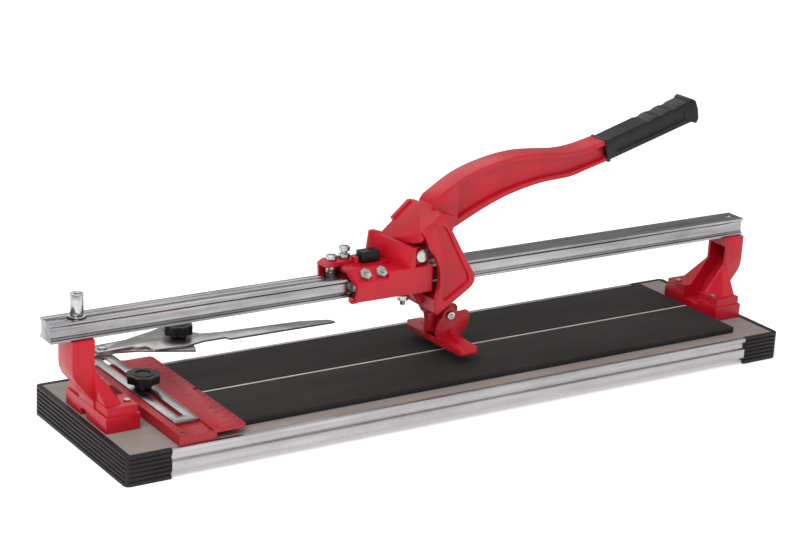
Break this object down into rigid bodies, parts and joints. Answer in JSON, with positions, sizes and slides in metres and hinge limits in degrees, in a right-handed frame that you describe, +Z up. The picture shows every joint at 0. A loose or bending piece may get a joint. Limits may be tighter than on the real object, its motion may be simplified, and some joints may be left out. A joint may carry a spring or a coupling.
{
  "type": "tile cutter",
  "caption": "Manual rail tile cutter: base with padded bed, bridge rail on two posts, lever carriage with scoring wheel and breaking foot, ruler fence, slotted bar and swinging angle blade.",
  "frame": {"origin": "centre of the base's footprint on the bench it stands on", "axes": "+X along the rail towards the right-hand post, +Y to the rear, towards the angle blade's pivot, +Z up"},
  "size_m": [0.848, 0.2648, 0.2828],
  "materials": {
    "red_paint": "semi-gloss enamel",
    "fence_paint": "semi-gloss enamel",
    "rail_aluminium": "extruded, satin",
    "edge_aluminium": "extruded, satin",
    "zinc_steel": "zinc plated",
    "bright_steel": "polished sheet",
    "board": "matt",
    "pad_rubber": "matt, fine texture",
    "grip_rubber": "soft matt",
    "black_plastic": "moulded, satin",
    "pale_strip": "satin"
  },
  "bodies": {
    "base": {"base_board": "board", "front_edge_profile": "edge_aluminium", "rear_edge_profile": "edge_aluminium", "left_end_cap": "black_plastic", "right_end_cap": "black_plastic", "front_pad": "pad_rubber", "rear_pad": "pad_rubber", "breaking_ridge": "pale_strip", "guide_rail": "rail_aluminium", "left_post": "red_paint", "right_post": "red_paint", "left_post_screw_front": "zinc_steel", "left_post_screw_rear": "zinc_steel", "right_post_screw_front": "zinc_steel", "right_post_screw_rear": "zinc_steel", "rail_stud_washer": "zinc_steel", "rail_stud": "zinc_steel", "rail_bolt": "zinc_steel", "fence": "fence_paint"},
    "bar": {"slotted_bar": "bright_steel", "quadrant_plate": "bright_steel", "pivot_rivet": "zinc_steel"},
    "blade": {"angle_blade": "bright_steel"},
    "bar_knob": {"bar_knob": "black_plastic"},
    "blade_knob": {"blade_knob": "black_plastic"},
    "carriage": {"carriage_body": "red_paint", "bumper_block": "black_plastic", "pivot_bolt": "zinc_steel", "adjuster_1": "zinc_steel", "adjuster_2": "zinc_steel", "front_roller_bolt_1": "zinc_steel", "front_roller_bolt_2": "zinc_steel", "front_roller_bolt_3": "zinc_steel", "rear_roller_bolt_1": "zinc_steel", "rear_roller_bolt_2": "zinc_steel", "rear_roller_bolt_3": "zinc_steel"},
    "lever": {"lever_body": "red_paint", "grip": "grip_rubber", "wheel_axle": "zinc_steel", "foot_pin": "zinc_steel"},
    "scoring_wheel": {"scoring_wheel": "bright_steel"},
    "foot": {"breaking_foot": "red_paint"},
    "front_roller_1": {"front_roller_1": "bright_steel"},
    "front_roller_2": {"front_roller_2": "bright_steel"},
    "front_roller_3": {"front_roller_3": "bright_steel"},
    "rear_roller_1": {"rear_roller_1": "bright_steel"},
    "rear_roller_2": {"rear_roller_2": "bright_steel"},
    "rear_roller_3": {"rear_roller_3": "bright_steel"}
  },
  "joints": [
    {"name": "carriage_slide", "type": "slide", "parent": "base", "child": "carriage", "axis": [1, 0, 0], "range_m": [-0.258, 0.32]},
    {"name": "lever_hinge", "type": "hinge", "parent": "carriage", "child": "lever", "pos_m": [-0.028, 0, 0.152], "axis": [0, 1, 0], "range_deg": [-2, 12]},
    {"name": "wheel_spin", "type": "hinge", "parent": "lever", "child": "scoring_wheel", "pos_m": [0.013, 0, 0.052], "axis": [0, 1, 0], "continuous": true},
    {"name": "foot_hinge", "type": "hinge", "parent": "lever", "child": "foot", "pos_m": [0.0156, 0, 0.0786], "axis": [0, 1, 0], "range_deg": [-5, 5]},
    {"name": "bar_slide", "type": "slide", "parent": "base", "child": "bar", "axis": [0, -1, 0], "range_m": [-0.077, 0.078]},
    {"name": "bar_knob_turn", "type": "hinge", "parent": "base", "child": "bar_knob", "pos_m": [-0.322, 0.02, 0.05], "axis": [0, 0, 1], "range_deg": [0, 720]},
    {"name": "blade_swing", "type": "hinge", "parent": "bar", "child": "blade", "pos_m": [-0.316, 0.124, 0.047], "axis": [0, 0, 1], "range_deg": [-15, 15]},
    {"name": "blade_knob_turn", "type": "hinge", "parent": "blade", "child": "blade_knob", "pos_m": [-0.23, 0.124, 0.055], "axis": [0, 0, 1], "range_deg": [0, 720]},
    {"name": "front_roller_1_spin", "type": "hinge", "parent": "carriage", "child": "front_roller_1", "pos_m": [-0.101, -0.0151, 0.12575], "axis": [0, 0, 1], "continuous": true},
    {"name": "front_roller_2_spin", "type": "hinge", "parent": "carriage", "child": "front_roller_2", "pos_m": [-0.078, -0.0151, 0.12575], "axis": [0, 0, 1], "continuous": true},
    {"name": "front_roller_3_spin", "type": "hinge", "parent": "carriage", "child": "front_roller_3", "pos_m": [-0.046, -0.0151, 0.12575], "axis": [0, 0, 1], "continuous": true},
    {"name": "rear_roller_1_spin", "type": "hinge", "parent": "carriage", "child": "rear_roller_1", "pos_m": [-0.115, 0.0151, 0.12575], "axis": [0, 0, 1], "continuous": true},
    {"name": "rear_roller_2_spin", "type": "hinge", "parent": "carriage", "child": "rear_roller_2", "pos_m": [-0.1, 0.0151, 0.12575], "axis": [0, 0, 1], "continuous": true},
    {"name": "rear_roller_3_spin", "type": "hinge", "parent": "carriage", "child": "rear_roller_3", "pos_m": [-0.046, 0.0151, 0.12575], "axis": [0, 0, 1], "continuous": true}
  ]
}
